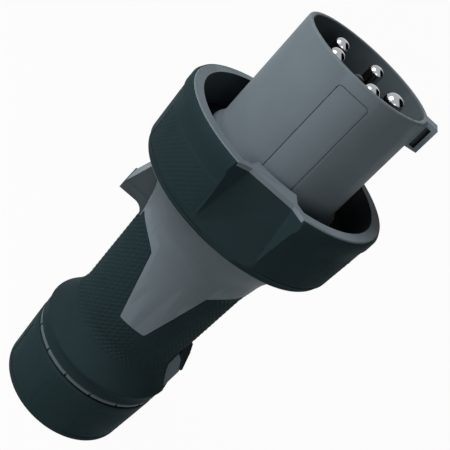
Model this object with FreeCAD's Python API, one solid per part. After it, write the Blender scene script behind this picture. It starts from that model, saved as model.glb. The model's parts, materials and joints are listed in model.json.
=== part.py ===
import FreeCAD, Part
import math
import os
from FreeCAD import Vector

# A watertight five-pole plug for 63 A, standing on the foot of its cable gland.
# Sizes are in millimetres. Z is the plug's axis, Z 0 is the foot and the mouth is on top.
# +X is the key side (six o'clock), -X carries the lid lug, and the two tongues face -Y and +Y.

# Fits and gaps
RUN_GAP = 0.3            # between pieces that turn or slide on each other
SEAT_GAP = 0.05          # between pieces that are pushed together
PRESS_ROOM = 0.5         # free space round the latch lever

# Shroud, the tube round the pins
SHROUD_RADIUS = 35.7
SHROUD_WALL = 2.8
SHROUD_LENGTH = 74.0     # from the flange's face to the mouth
RIM_ROUND = 1.0
ROOT_STEP = 2.6          # collar at the root of the tube, prouder than the tube
ROOT_HEIGHT = 12.5       # from the flange's face to the collar's upper end
ROOT_SLOPE = 4.0
FLANGE_STEP = 6.7        # flange outside the spigot
FLANGE_THICKNESS = 4.0
SPIGOT_STEP = 3.5        # spigot outside the root collar
SPIGOT_WALL = 3.4
SPIGOT_LENGTH = 15.0     # below the flange
SNAP_REACH = 1.4         # lugs on the spigot's end
SNAP_HEIGHT = 2.6
SNAP_WIDTH_DEG = 24.0
SNAP_COUNT = 3
EDGE = 0.5               # small edge break
WIDE_EDGE = 1.0
LEDGE_DEPTH = 44.0       # from the mouth to the ledge that stops the contact carrier
LEDGE_HEIGHT = 2.0
LEDGE_WIDTH = 1.9
PANEL_WIDTH = 17.0       # bare raised panel on the tube
PANEL_TOP = 6.0
PANEL_LENGTH = 53.0
PANEL_GROOVE = 0.5
PANEL_LINE = 0.5
PANEL_CORNER = 2.2

# Key on the shroud
KEY_HALF_WIDTH = 4.2
KEY_HEIGHT = 5.9
KEY_LENGTH = 15.0
KEY_SLOT_LENGTH = 11.0
KEY_SLOT_HEIGHT = 2.9
KEY_SLOT_START = 2.2
KEY_SLOT_FLOOR = 0.7     # above the tube's surface
KEY_WEB = 1.2            # wall in the middle that closes the slot
KEY_BEVEL = 0.4

# Contacts
POLE_CIRCLE_SHARE = 0.5714   # of the shroud's bore
POLE_STEP_DEG = 72.0
PHASE_PIN_RADIUS = 4.0
EARTH_PIN_RADIUS = 5.0
PILOT_PIN_RADIUS = 3.0
PIN_RECESS = 1.0         # pin tip below the mouth
PILOT_RECESS = 6.0
PIN_TIP_ROUND = 0.85     # share of the pin's radius
TERMINAL_EXTRA = 2.2     # terminal radius over pin radius
TERMINAL_LENGTH = 25.0
PIN_SHOULDER = 0.3       # the shank in the carrier is this much thicker than the pin
PIN_FLANGE_HEIGHT = 3.0
PIN_FLANGE_EXTRA = 1.5
WIRE_HOLE_SHARE = 0.6
WIRE_HOLE_DEPTH = 17.0
TERMINAL_SCREW_RADIUS = 2.2
TERMINAL_SCREW_PITCH = 8.0
TERMINAL_SCREW_FIRST = 5.0
SCREW_SLOT = 0.8

# Contact carrier and its back plate
CARRIER_HEIGHT = 18.0
BACK_PLATE_HEIGHT = 5.0
CARRIER_SCREW_RADIUS = 1.5
CARRIER_SCREW_HEAD = 2.8
CARRIER_SCREW_INSET = 5.4    # from the shroud's bore to the screws' circle
CARRIER_SCREW_COUNT = 5
CARRIER_SCREW_LENGTH = 14.0
CARRIER_RELIEF = 8.0     # depth of the weight-saving pockets in the carrier's back
RELIEF_RADIUS = 3.2
RELIEF_INSET = 13.0      # from the screws' circle to the pockets
CARRIER_CATCH_REACH = 0.9    # catches behind the back plate
CARRIER_CATCH_LENGTH = 3.0
CARRIER_CATCH_DEG = 22.0
CATCH_CONE = 5.5         # length of the cone behind the catches

# Face gasket and housing seal
GASKET_THICKNESS = 3.0
SEAL_HEIGHT = 3.0
SEAL_DEPTH = 1.9
SEAL_DROP = 8.0          # below the flange's underside

# Bayonet ring
RING_FACE_RISE = 17.3    # ring face above the gasket's face
RING_HEIGHT = 38.3
RING_ROOM = 3.5          # between the flange and the ring's bore
RING_WALL = 3.2
RING_SLEEVE = 3.5        # soft sleeve outside the hard wall
RING_LIP_STEP = 1.4      # the sleeve stands this much prouder than the lip
RING_LIP_THICKNESS = 2.0
RING_GRIP_STEP = 0.7     # the front band stands this much prouder than the pads
RING_BAND_HEIGHT = 7.5
RING_TAPER = 1.1
RING_REAR_STEP = 0.9
RING_REAR_BAND = 3.2
RING_REAR_ROUND = 1.6
WEB_THICKNESS = 3.7
CAM_REACH = 11.2         # from the ring's bore inwards
CAM_HALF_ANGLE_DEG = 15.5
CAM_THICKNESS = 8.0
CAM_RAMP = 2.0
DIP_STEP = 2.0           # the dip's floor lies this far inside the ring's bore at the face
DIP_RISE = 5.8           # how far the floor has come back out at the ring's rear
DIP_HALF_WIDTH = 11.9
DIP_REAR_HALF_WIDTH = 17.5
DIP_RAMP_RUN = 7.0
DIP_RAMP_RISE = 4.7
DIP_WALL = 4.1           # hard wall and soft skin together
DIP_SKIN = 1.8
PAD_START_DEG = 18.5
PAD_SPAN_DEG = 54.0
PAD_RECESS = 0.3
PAD_TOP_DROP = 13.0
TURN_RANGE_DEG = 50.0
STOP_WIDTH = 8.0
STOP_HEIGHT = 2.6

# Handle shell and its soft grip
SHOULDER_WALL = 5.2      # outside the spigot
SHELL_SHOULDER_HEIGHT = 10.7
NECK_STEP = 9.6          # neck inside the shoulder
NECK_BOW = 4.5           # how far the flare bows out between them
NECK_RISE = 12.3         # from the lug to the neck
NECK_LEAD = 4.0
NECK_LEAD_STEP = 1.0
NECK_DROP = 18.5         # from the shoulder's lower edge to the neck
GRIP_TOP_STEP = 3.0      # top of the grip inside the neck
WAIST_STEP = 2.0         # waist inside the grip's top
GRIP_LENGTH = 61.5       # waist to the grip's front edge
BULGE_HEIGHT = 18.5
BULGE_STEP = 8.2         # bulge outside the waist
COLLAR_STEP = 0.8        # collar inside the bulge
COLLAR_BAND = 3.2
COLLAR_HEIGHT = 7.7
SKIN = 1.8               # soft grip over the hard shell
KNURL_DEPTH = 0.4        # bed of the knurling below the tongues
SHELL_WALL = 3.0
BULGE_SKIN = 2.6
TONGUE_TIP_HALF_WIDTH = 7.8
TONGUE_ROOT_HALF_WIDTH = 17.4
TONGUE_LENGTH = 44.5
TONGUE_ROOT_DROP = 6.3
TONGUE_ROUND = 1.2

# Lug for the socket's lid
LUG_HALF_WIDTH = 8.0
LUG_STEP = 12.1          # lug's top outside the neck
LUG_FOOT = 9.0
LUG_DROP = 1.3           # below the grip's front edge
LUG_LIP_THICKNESS = 4.4
LUG_LIP_EXTRA = 1.4
LUG_BACK_RISE = 5.0      # height of the fillet under the lug
LUG_RAMP_LENGTH = 20.4
LUG_RAMP_DROP = 7.0

# Thread tube, gland nut and what it clamps
TUBE_STEP = 5.2          # thread tube inside the collar
TUBE_WALL = 4.1
TUBE_FOOT = 9.0          # lower end of the thread tube
NUT_HEIGHT = 35.4
NUT_TOP_STEP = 5.1       # nut outside the thread tube
NUT_TAPER = 1.8
NUT_FOOT_ROUND = 2.0
NUT_NECK_STEP = 2.8
NUT_NECK_HEIGHT = 1.7
NUT_FLOOR = 4.2
NUT_MOUTH_RADIUS = 19.0
NUT_PAD_LOW = 4.0        # four shallow grip pads like the ring's
NUT_PAD_HEIGHT = 25.0
NUT_PAD_RECESS = 0.4
RATCHET_HEIGHT = 1.9
RATCHET_GAP = 0.8        # under the collar
RATCHET_STEP = 0.4       # ring inside the nut's top
RATCHET_NOTCHES = 15
RATCHET_NOTCH_WIDTH = 1.3
RATCHET_NOTCH_DEPTH = 0.9
THRUST_HEIGHT = 3.0
CAGE_WALL = 4.0
CAGE_HEIGHT = 22.0
CAGE_SLOTS = 10
CAGE_SLOT_WIDTH = 2.4
CAGE_SLOT_HEIGHT = 14.0
SEAL_INSERT_BORE = 14.0
SEAL_INSERT_RIBS = 3

# Latch lever by the gland
LEVER_HALF_WIDTH = 9.0
LEVER_TOP_STEP = 2.4       # the lever's top inside the bulge
LEVER_NOSE_HEIGHT = 26.0   # nose of the pad above the collar's crest
PAD_DROP = 8.9             # nose to the pad's rear end
PAD_KINK_STEP = 5.0        # kink of the pad inside the bulge
PAD_KINK_DROP = 2.1
PAD_REAR_STEP = 2.0
PAD_THICKNESS = 1.3
PAD_RIB_HEIGHT = 0.7
LEVER_THICKNESS = 6.9
LEVER_PIN_STEP = 8.3       # pin inside the bulge
LEVER_PIN_RISE = 6.5       # pin above the collar's crest
LEVER_PIN_RADIUS = 1.5
LEVER_PIN_LENGTH = 26.0
LEVER_TAIL_HALF_WIDTH = 3.2
LEVER_TAIL_STEP = 5.2
LEVER_TAIL_THICKNESS = 1.9
POCKET_DEPTH = 11.0
LEVER_SWING = 1.5          # room for the tail behind its slot
PAD_RIBS = 4
SPRING_THICKNESS = 0.4
SPRING_HALF_WIDTH = 4.0
SPRING_LENGTH = 11.0
SPRING_REACH = 5.6         # from the pin to the spring's free end
SPRING_LIFT = 0.85

# Radii worked out from the shroud outwards
SHROUD_BORE = SHROUD_RADIUS - SHROUD_WALL
POLE_CIRCLE_RADIUS = SHROUD_BORE * POLE_CIRCLE_SHARE
CARRIER_SCREW_CIRCLE = SHROUD_BORE - CARRIER_SCREW_INSET
ROOT_RADIUS = SHROUD_RADIUS + ROOT_STEP
SPIGOT_RADIUS = ROOT_RADIUS + SPIGOT_STEP
FLANGE_RADIUS = SPIGOT_RADIUS + FLANGE_STEP
RING_BORE_RADIUS = FLANGE_RADIUS + RING_ROOM
RING_GRIP_RADIUS = RING_BORE_RADIUS + RING_WALL + RING_SLEEVE
RING_LIP_RADIUS = RING_GRIP_RADIUS - RING_LIP_STEP
CAM_TIP_RADIUS = RING_BORE_RADIUS - CAM_REACH
DIP_DEPTH = RING_BORE_RADIUS - DIP_STEP
SHELL_SHOULDER_RADIUS = SPIGOT_RADIUS + SHOULDER_WALL
NECK_RADIUS = SHELL_SHOULDER_RADIUS - NECK_STEP
GRIP_TOP_RADIUS = NECK_RADIUS - GRIP_TOP_STEP
WAIST_RADIUS = GRIP_TOP_RADIUS - WAIST_STEP
BULGE_RADIUS = WAIST_RADIUS + BULGE_STEP
COLLAR_RADIUS = BULGE_RADIUS - COLLAR_STEP
LUG_REACH = NECK_RADIUS + LUG_STEP
TUBE_RADIUS = COLLAR_RADIUS - TUBE_STEP
TUBE_BORE = TUBE_RADIUS - TUBE_WALL
NUT_BORE = TUBE_RADIUS + RUN_GAP
NUT_TOP_RADIUS = TUBE_RADIUS + NUT_TOP_STEP
NUT_FOOT_RADIUS = NUT_TOP_RADIUS - NUT_TAPER
NUT_NECK_RADIUS = NUT_TOP_RADIUS - NUT_NECK_STEP
RATCHET_RADIUS = NUT_TOP_RADIUS - RATCHET_STEP
CAGE_RADIUS = TUBE_BORE - SEAT_GAP
CAGE_BORE = CAGE_RADIUS - CAGE_WALL
WIRE_SPACE_RADIUS = WAIST_RADIUS - SKIN - SHELL_WALL

# Distances of the latch from the axis
LEVER_TOP = BULGE_RADIUS - LEVER_TOP_STEP
LEVER_UNDERSIDE = LEVER_TOP - LEVER_THICKNESS
LEVER_PIN_X = BULGE_RADIUS - LEVER_PIN_STEP
LEVER_TAIL_X = BULGE_RADIUS - LEVER_TAIL_STEP
PAD_KINK_X = BULGE_RADIUS - PAD_KINK_STEP
PAD_REAR_X = BULGE_RADIUS - PAD_REAR_STEP
POCKET_FLOOR = BULGE_RADIUS - POCKET_DEPTH

# Heights worked out from the foot upwards
RATCHET_LOW = NUT_HEIGHT + NUT_NECK_HEIGHT
RATCHET_TOP = RATCHET_LOW + RATCHET_HEIGHT
COLLAR_LOW = RATCHET_TOP + RATCHET_GAP
CREST = COLLAR_LOW + COLLAR_HEIGHT
WAIST = CREST + BULGE_HEIGHT
GRIP_FRONT = WAIST + GRIP_LENGTH
TONGUE_TIP = GRIP_FRONT - TONGUE_LENGTH
LUG_REAR = GRIP_FRONT - LUG_DROP
NECK = LUG_REAR + NECK_RISE
SHOULDER_LOW = NECK + NECK_DROP
SHELL_TOP = SHOULDER_LOW + SHELL_SHOULDER_HEIGHT
WEB_LOW = SHELL_TOP + RUN_GAP
WEB_TOP = WEB_LOW + WEB_THICKNESS
FLANGE_LOW = WEB_TOP + RUN_GAP
FLANGE_TOP = FLANGE_LOW + FLANGE_THICKNESS
GASKET_TOP = FLANGE_TOP + GASKET_THICKNESS
RING_FACE = GASKET_TOP + RING_FACE_RISE
RING_REAR = RING_FACE - RING_HEIGHT
MOUTH = FLANGE_TOP + SHROUD_LENGTH
SPIGOT_END = FLANGE_LOW - SPIGOT_LENGTH
CARRIER_TOP = MOUTH - LEDGE_DEPTH - LEDGE_HEIGHT
CARRIER_LOW = CARRIER_TOP - CARRIER_HEIGHT
PLATE_LOW = CARRIER_LOW - BACK_PLATE_HEIGHT
CAGE_LOW = NUT_FLOOR + 2 * RUN_GAP + THRUST_HEIGHT
LEVER_PIN_Z = CREST + LEVER_PIN_RISE
LEVER_NOSE = CREST + LEVER_NOSE_HEIGHT

POLES = ["pin_earth", "pin_line_1", "pin_line_2", "pin_line_3", "pin_neutral"]


def arc(middle, end):
    """Mark a stretch of an outline as an arc through middle to end."""
    return ("arc", middle, end)


def outline(points, place):
    """Closed wire from corner points and arcs; place turns a flat pair into a vector."""
    edges = []
    last = points[0]
    for item in list(points[1:]) + [points[0]]:
        if item[0] == "arc":
            edges.append(Part.Arc(place(last), place(item[1]), place(item[2])).toShape())
            last = item[2]
        elif item != last:
            edges.append(Part.LineSegment(place(last), place(item)).toShape())
            last = item
    return Part.Wire(edges)


def turned(points):
    """Solid of revolution about Z from (radius, height) points."""
    wire = outline(points, lambda p: Vector(p[0], 0, p[1]))
    return Part.Face(wire).revolve(Vector(0, 0, 0), Vector(0, 0, 1), 360)


def tube(outer, inner, low, high):
    """Plain ring between two heights; inner 0 gives a disc."""
    if inner <= 0:
        return Part.makeCylinder(outer, high - low, Vector(0, 0, low))
    return turned([(inner, low), (outer, low), (outer, high), (inner, high)])


def side_plate(points, half_width):
    """Plate from an outline of (x, z) points, as thick as twice half_width along Y."""
    wire = outline(points, lambda p: Vector(p[0], -half_width, p[1]))
    return Part.Face(wire).extrude(Vector(0, 2 * half_width, 0))


def box(x0, x1, y0, y1, z0, z1):
    return Part.makeBox(x1 - x0, y1 - y0, z1 - z0, Vector(x0, y0, z0))


def spun(shape, degrees):
    """Copy of a shape turned about the plug's axis."""
    copy = shape.copy()
    copy.rotate(Vector(0, 0, 0), Vector(0, 0, 1), degrees)
    return copy


def fused(shapes):
    result = shapes[0]
    for shape in shapes[1:]:
        result = result.fuse(shape)
    return result.removeSplitter()


def sector(radius, low, high, start, end):
    """Pie slice about Z between two angles in degrees."""
    wedge = Part.makeCylinder(radius, high - low, Vector(0, 0, low), Vector(0, 0, 1), end - start)
    return spun(wedge, start)


def pole_places():
    """Name and angle of each main contact, earth in line with the key."""
    return [(name, i * POLE_STEP_DEG) for i, name in enumerate(POLES)]


def pin_radius(name):
    if name == "pin_earth":
        return EARTH_PIN_RADIUS
    if name == "pin_pilot":
        return PILOT_PIN_RADIUS
    return PHASE_PIN_RADIUS


def key():
    """Key at the mouth with a sunken slot in each side."""
    top = SHROUD_RADIUS + KEY_HEIGHT
    low = MOUTH - KEY_LENGTH
    body = side_plate([(SHROUD_BORE + EDGE, low + KEY_HEIGHT * 0.3), (SHROUD_RADIUS, low),
                       (top, low + WIDE_EDGE), (top, MOUTH - KEY_BEVEL), (top - KEY_BEVEL, MOUTH),
                       (SHROUD_BORE + EDGE, MOUTH)], KEY_HALF_WIDTH)
    floor = SHROUD_RADIUS + KEY_SLOT_FLOOR
    slots = []
    for near, far in ((-2 * KEY_HALF_WIDTH, -KEY_WEB / 2), (KEY_WEB / 2, 2 * KEY_HALF_WIDTH)):
        slots.append(box(floor, floor + KEY_SLOT_HEIGHT, near, far,
                         MOUTH - KEY_SLOT_START - KEY_SLOT_LENGTH, MOUTH - KEY_SLOT_START))
    return body, slots


def panel_groove():
    """Thin groove round the bare panel, cut into the side of the tube."""
    def block(inset):
        shape = box(-PANEL_WIDTH / 2 + inset, PANEL_WIDTH / 2 - inset,
                    -SHROUD_RADIUS - 1, -SHROUD_RADIUS / 2,
                    MOUTH - PANEL_TOP - PANEL_LENGTH + inset, MOUTH - PANEL_TOP - inset)
        upright = [e for e in shape.Edges
                   if abs(e.Vertexes[0].Y - e.Vertexes[1].Y) > 1]
        return shape.makeFillet(PANEL_CORNER - inset, upright)
    frame = block(0).cut(block(PANEL_LINE))
    skin = tube(SHROUD_RADIUS + 1, SHROUD_RADIUS - PANEL_GROOVE, FLANGE_TOP, MOUTH)
    return frame.common(skin)


def front_housing():
    """Shroud, flange and spigot in one moulding."""
    r = SHROUD_RADIUS
    b = SHROUD_BORE
    root = FLANGE_TOP + ROOT_HEIGHT
    inner = SPIGOT_RADIUS - SPIGOT_WALL
    c = RIM_ROUND
    k = c * (1 - math.sqrt(0.5))
    cone_top = PLATE_LOW - CARRIER_CATCH_LENGTH - EDGE
    body = turned([
        (b, cone_top), (inner, cone_top - CATCH_CONE), (inner, SPIGOT_END),
        (SPIGOT_RADIUS, SPIGOT_END), (SPIGOT_RADIUS, FLANGE_LOW), (FLANGE_RADIUS, FLANGE_LOW),
        (FLANGE_RADIUS, FLANGE_TOP), (ROOT_RADIUS, FLANGE_TOP), (ROOT_RADIUS, root - ROOT_SLOPE),
        (r, root), (r, MOUTH - c), arc((r - k, MOUTH - k), (r - c, MOUTH)),
        (b + c, MOUTH), arc((b + k, MOUTH - k), (b, MOUTH - c))])
    ledge = turned([(b - LEDGE_WIDTH, CARRIER_TOP), (b + 0.5, CARRIER_TOP),
                    (b + 0.5, CARRIER_TOP + 2 * LEDGE_HEIGHT), (b, CARRIER_TOP + 2 * LEDGE_HEIGHT),
                    (b - LEDGE_WIDTH, CARRIER_TOP + LEDGE_HEIGHT)])
    groove = tube(SPIGOT_RADIUS + 1, SPIGOT_RADIUS - SEAL_DEPTH,
                  FLANGE_LOW - SEAL_DROP - SEAL_HEIGHT, FLANGE_LOW - SEAL_DROP)
    key_body, key_slots = key()
    stops = [spun(stop_rib(), a) for a in (0, 180)]
    body = fused([body, ledge, key_body, snap_lugs(), carrier_catches()] + stops)
    for cut in [groove, panel_groove()] + key_slots:
        body = body.cut(cut)
    return body


def carrier_catches():
    """Catches in the bore that the contact insert snaps past from behind."""
    high = PLATE_LOW - SEAT_GAP
    low = high - CARRIER_CATCH_LENGTH
    inner = SHROUD_BORE - CARRIER_CATCH_REACH
    ring = turned([(inner, high), (SHROUD_BORE + EDGE, high), (SHROUD_BORE + EDGE, low),
                   (SHROUD_BORE, low), (inner, high - EDGE)])
    catches = []
    for i in range(SNAP_COUNT):
        start = i * 360.0 / SNAP_COUNT - CARRIER_CATCH_DEG / 2
        wedge = sector(SHROUD_RADIUS, low, high, start, start + CARRIER_CATCH_DEG)
        catches.append(ring.common(wedge))
    return fused(catches)


def snap_lugs():
    """Lugs at the spigot's end that hold it in the shell's groove."""
    r = SPIGOT_RADIUS + SNAP_REACH
    top = SPIGOT_END + SNAP_HEIGHT
    ring = turned([(SPIGOT_RADIUS - EDGE, SPIGOT_END), (SPIGOT_RADIUS, SPIGOT_END),
                   (r, SPIGOT_END + SNAP_REACH), (r, top), (SPIGOT_RADIUS - EDGE, top)])
    lugs = []
    for i in range(SNAP_COUNT):
        start = i * 360.0 / SNAP_COUNT
        lugs.append(ring.common(sector(r + 1, SPIGOT_END, top, start, start + SNAP_WIDTH_DEG)))
    return fused(lugs)


def stop_rib():
    """Rib on the spigot that limits the ring's turn."""
    return side_plate([(SPIGOT_RADIUS - 0.5, FLANGE_LOW - WEB_THICKNESS),
                       (SPIGOT_RADIUS + STOP_HEIGHT, FLANGE_LOW - WEB_THICKNESS),
                       (SPIGOT_RADIUS + STOP_HEIGHT, FLANGE_LOW + 0.5),
                       (SPIGOT_RADIUS - 0.5, FLANGE_LOW + 0.5)], STOP_WIDTH / 2)


def contact_carrier():
    """Insulating block that fills the shroud behind the ledge."""
    body = tube(SHROUD_BORE - SEAT_GAP, 0, CARRIER_LOW, CARRIER_TOP - SEAT_GAP)
    cuts = []
    for name, angle in pole_places() + [("pin_pilot", None)]:
        x = 0 if angle is None else POLE_CIRCLE_RADIUS
        hole = Part.makeCylinder(pin_radius(name) + PIN_SHOULDER + SEAT_GAP, CARRIER_HEIGHT + 2,
                                 Vector(x, 0, CARRIER_LOW - 1))
        cuts.append(hole if angle is None else spun(hole, angle))
    for angle in screw_angles():
        cuts.append(spun(Part.makeCylinder(CARRIER_SCREW_RADIUS + SEAT_GAP, CARRIER_SCREW_LENGTH,
                         Vector(CARRIER_SCREW_CIRCLE, 0, CARRIER_LOW - 1)), angle))
        pocket = Part.makeCylinder(RELIEF_RADIUS, CARRIER_RELIEF,
                                   Vector(CARRIER_SCREW_CIRCLE - RELIEF_INSET, 0, CARRIER_LOW - 1))
        cuts.append(spun(pocket, angle))
    for cut in cuts:
        body = body.cut(cut)
    return body


def screw_angles():
    step = 360.0 / CARRIER_SCREW_COUNT
    return [POLE_STEP_DEG / 2 + i * step for i in range(CARRIER_SCREW_COUNT)]


def carrier_back():
    """Plate that holds the pin flanges against the carrier from behind."""
    body = tube(SHROUD_BORE - SEAT_GAP, 0, PLATE_LOW, CARRIER_LOW)
    for name, angle in pole_places() + [("pin_pilot", 0)]:
        x = 0 if name == "pin_pilot" else POLE_CIRCLE_RADIUS
        radius = pin_radius(name) + TERMINAL_EXTRA + SEAT_GAP
        seat = Part.makeCylinder(radius + PIN_FLANGE_EXTRA, PIN_FLANGE_HEIGHT + SEAT_GAP,
                                 Vector(x, 0, CARRIER_LOW - PIN_FLANGE_HEIGHT - SEAT_GAP))
        hole = Part.makeCylinder(radius, BACK_PLATE_HEIGHT + 2, Vector(x, 0, PLATE_LOW - 1))
        body = body.cut(spun(seat.fuse(hole), angle))
    for angle in screw_angles():
        hole = Part.makeCylinder(CARRIER_SCREW_RADIUS + SEAT_GAP, BACK_PLATE_HEIGHT + 2,
                                 Vector(CARRIER_SCREW_CIRCLE, 0, PLATE_LOW - 1))
        body = body.cut(spun(hole, angle))
    return body


def carrier_screws():
    """Screws through the back plate into the carrier, heads at the rear."""
    screws = []
    for angle in screw_angles():
        shank = Part.makeCylinder(CARRIER_SCREW_RADIUS, CARRIER_SCREW_LENGTH - 2,
                                  Vector(0, 0, PLATE_LOW))
        head = Part.makeCylinder(CARRIER_SCREW_HEAD, 2.2, Vector(0, 0, PLATE_LOW - 2.2))
        slot = box(-4, 4, -SCREW_SLOT / 2, SCREW_SLOT / 2, PLATE_LOW - 3, PLATE_LOW - 1.2)
        screw = shank.fuse(head).cut(slot)
        screw.translate(Vector(CARRIER_SCREW_CIRCLE, 0, 0))
        screws.append(spun(screw, angle))
    return Part.makeCompound(screws)


def contact_pin(name):
    """Round pin with a flange and a screw terminal behind it, at the plug's axis."""
    r = pin_radius(name)
    recess = PILOT_RECESS if name == "pin_pilot" else PIN_RECESS
    tip = MOUTH - recess
    round_off = r * PIN_TIP_ROUND
    k = round_off * (1 - math.sqrt(0.5))
    terminal = r + TERMINAL_EXTRA
    shank = r + PIN_SHOULDER
    flange_low = CARRIER_LOW - PIN_FLANGE_HEIGHT
    low = flange_low - TERMINAL_LENGTH
    body = turned([
        (0, low), (terminal - 0.5, low), (terminal, low + 0.5), (terminal, flange_low),
        (terminal + PIN_FLANGE_EXTRA, flange_low), (terminal + PIN_FLANGE_EXTRA, CARRIER_LOW),
        (shank, CARRIER_LOW), (shank, CARRIER_TOP), (r, CARRIER_TOP + PIN_SHOULDER),
        (r, tip - round_off), arc((r - k, tip - k), (r - round_off, tip)),
        (0, tip)])
    wire = Part.makeCylinder(terminal * WIRE_HOLE_SHARE, WIRE_HOLE_DEPTH, Vector(0, 0, low - 1))
    body = body.cut(wire)
    for height in screw_heights(name):
        body = body.cut(Part.makeCylinder(TERMINAL_SCREW_RADIUS, terminal + 1,
                                          Vector(0, 0, height), Vector(1, 0, 0)))
    return body


def screw_heights(name):
    low = CARRIER_LOW - PIN_FLANGE_HEIGHT - TERMINAL_LENGTH
    count = 1 if name == "pin_pilot" else 2
    return [low + TERMINAL_SCREW_FIRST + i * TERMINAL_SCREW_PITCH for i in range(count)]


def placed_pin(name, angle):
    pin = contact_pin(name)
    if name != "pin_pilot":
        pin.translate(Vector(POLE_CIRCLE_RADIUS, 0, 0))
    return spun(pin, angle)


def terminal_screws():
    """Grub screws that clamp the wires, all radial."""
    screws = []
    for name, angle in pole_places() + [("pin_pilot", 0)]:
        terminal = pin_radius(name) + TERMINAL_EXTRA
        inner = terminal * WIRE_HOLE_SHARE - 0.4
        length = terminal - inner + 0.6
        x = 0 if name == "pin_pilot" else POLE_CIRCLE_RADIUS
        for height in screw_heights(name):
            screw = Part.makeCylinder(TERMINAL_SCREW_RADIUS - SEAT_GAP, length,
                                      Vector(inner, 0, height), Vector(1, 0, 0))
            slot = box(inner + length - 0.9, inner + length + 1, -4, 4,
                       height - SCREW_SLOT / 2, height + SCREW_SLOT / 2)
            screw = screw.cut(slot)
            screw.translate(Vector(x, 0, 0))
            screws.append(spun(screw, angle))
    return Part.makeCompound(screws)


def face_gasket():
    """Flat ring that the socket's rim presses on."""
    return turned([(ROOT_RADIUS + SEAT_GAP, FLANGE_TOP), (FLANGE_RADIUS, FLANGE_TOP),
                   (FLANGE_RADIUS, GASKET_TOP - 0.5), (FLANGE_RADIUS - 0.5, GASKET_TOP),
                   (ROOT_RADIUS + SEAT_GAP, GASKET_TOP)])


def housing_seal():
    """Rubber ring in the spigot's groove."""
    high = FLANGE_LOW - SEAL_DROP - SEAT_GAP
    low = high - SEAL_HEIGHT + 2 * SEAT_GAP
    middle = (high + low) / 2
    inner = SPIGOT_RADIUS - SEAL_DEPTH
    outer = SPIGOT_RADIUS + SEAT_GAP
    return turned([(inner, low), (outer - 0.6, low), arc((outer, middle), (outer - 0.6, high)),
                   (inner, high)])


def dip_tool(depth, low, high):
    """Wedge outside the ring that makes the sunken stretch at a cam, open outwards."""
    def section(height):
        share = (RING_FACE - height) / RING_HEIGHT
        floor = depth + DIP_RISE * share
        half = DIP_HALF_WIDTH + (DIP_REAR_HALF_WIDTH - DIP_HALF_WIDTH) * share
        side = half + DIP_RAMP_RUN
        far = RING_GRIP_RADIUS + 6
        points = [(-half, -floor), (half, -floor), (side, -floor - DIP_RAMP_RISE), (side, -far),
                  (-side, -far), (-side, -floor - DIP_RAMP_RISE)]
        return outline(points, lambda p: Vector(p[0], p[1], height))
    return Part.makeLoft([section(low), section(high)], True, True)


def ring_cam():
    """Bayonet cam under the dip, with a sloping rear face."""
    body = sector(RING_BORE_RADIUS, RING_FACE - CAM_THICKNESS, RING_FACE,
                  -90 - CAM_HALF_ANGLE_DEG, -90 + CAM_HALF_ANGLE_DEG)
    body = body.cut(tube(CAM_TIP_RADIUS, 0, RING_FACE - CAM_THICKNESS - 1, RING_FACE + 1))
    slope = side_plate([(-RING_BORE_RADIUS, RING_FACE - CAM_THICKNESS - 1),
                        (RING_BORE_RADIUS / 3, RING_FACE - CAM_THICKNESS - 1),
                        (-RING_BORE_RADIUS / 3, RING_FACE - CAM_THICKNESS + CAM_RAMP),
                        (-RING_BORE_RADIUS, RING_FACE - CAM_THICKNESS + CAM_RAMP)],
                       RING_BORE_RADIUS + 2)
    return body.cut(slope)


def web_notch():
    """Arc-shaped notch in the ring's web in which a stop rib travels."""
    half = math.degrees(STOP_WIDTH / 2 / SPIGOT_RADIUS) + 0.7
    radius = SPIGOT_RADIUS + STOP_HEIGHT + RUN_GAP
    return sector(radius, WEB_LOW - 1, WEB_TOP + 1, -half - TURN_RANGE_DEG, half)


def ring_core():
    """Outside of the hard ring under its soft sleeve."""
    core = tube(RING_BORE_RADIUS + RING_WALL, 0, RING_REAR, RING_FACE)
    for turn in (0, 180):
        core = core.cut(spun(dip_tool(DIP_DEPTH - DIP_SKIN, RING_REAR - 1, RING_FACE + 1), turn))
    return core


def bayonet_ring():
    """Hard inner ring: bore, web, front lip and two cams."""
    bore = RING_BORE_RADIUS
    lip = RING_LIP_RADIUS
    lip_low = RING_FACE - RING_LIP_THICKNESS
    web_bore = SPIGOT_RADIUS + RUN_GAP
    face = turned([(bore, lip_low), (lip, lip_low), (lip, RING_FACE - EDGE), (lip - EDGE, RING_FACE),
                   (bore + EDGE, RING_FACE), (bore, RING_FACE - EDGE)])
    web = tube(bore + EDGE, web_bore, WEB_LOW, WEB_TOP)
    wall = ring_core().cut(turned([(0, RING_REAR - 1), (bore + WIDE_EDGE, RING_REAR - 1),
                                   (bore + WIDE_EDGE, RING_REAR), (bore, RING_REAR + WIDE_EDGE),
                                   (bore, RING_FACE + 1), (0, RING_FACE + 1)]))
    body = wall.fuse(web).fuse(face)
    disc = tube(bore + EDGE, 0, WEB_TOP, RING_FACE)
    for turn in (0, 180):
        bulge = spun(dip_tool(DIP_DEPTH - DIP_WALL, WEB_TOP, RING_FACE), turn).common(disc)
        body = body.fuse(bulge).fuse(spun(ring_cam(), turn))
    for turn in (0, 180):
        body = body.cut(spun(dip_tool(DIP_DEPTH, lip_low, RING_FACE + 1), turn))
        body = body.cut(spun(dip_tool(DIP_DEPTH - DIP_SKIN, RING_REAR - 1, lip_low), turn))
        body = body.cut(spun(web_notch(), turn))
    return body.removeSplitter()


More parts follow.
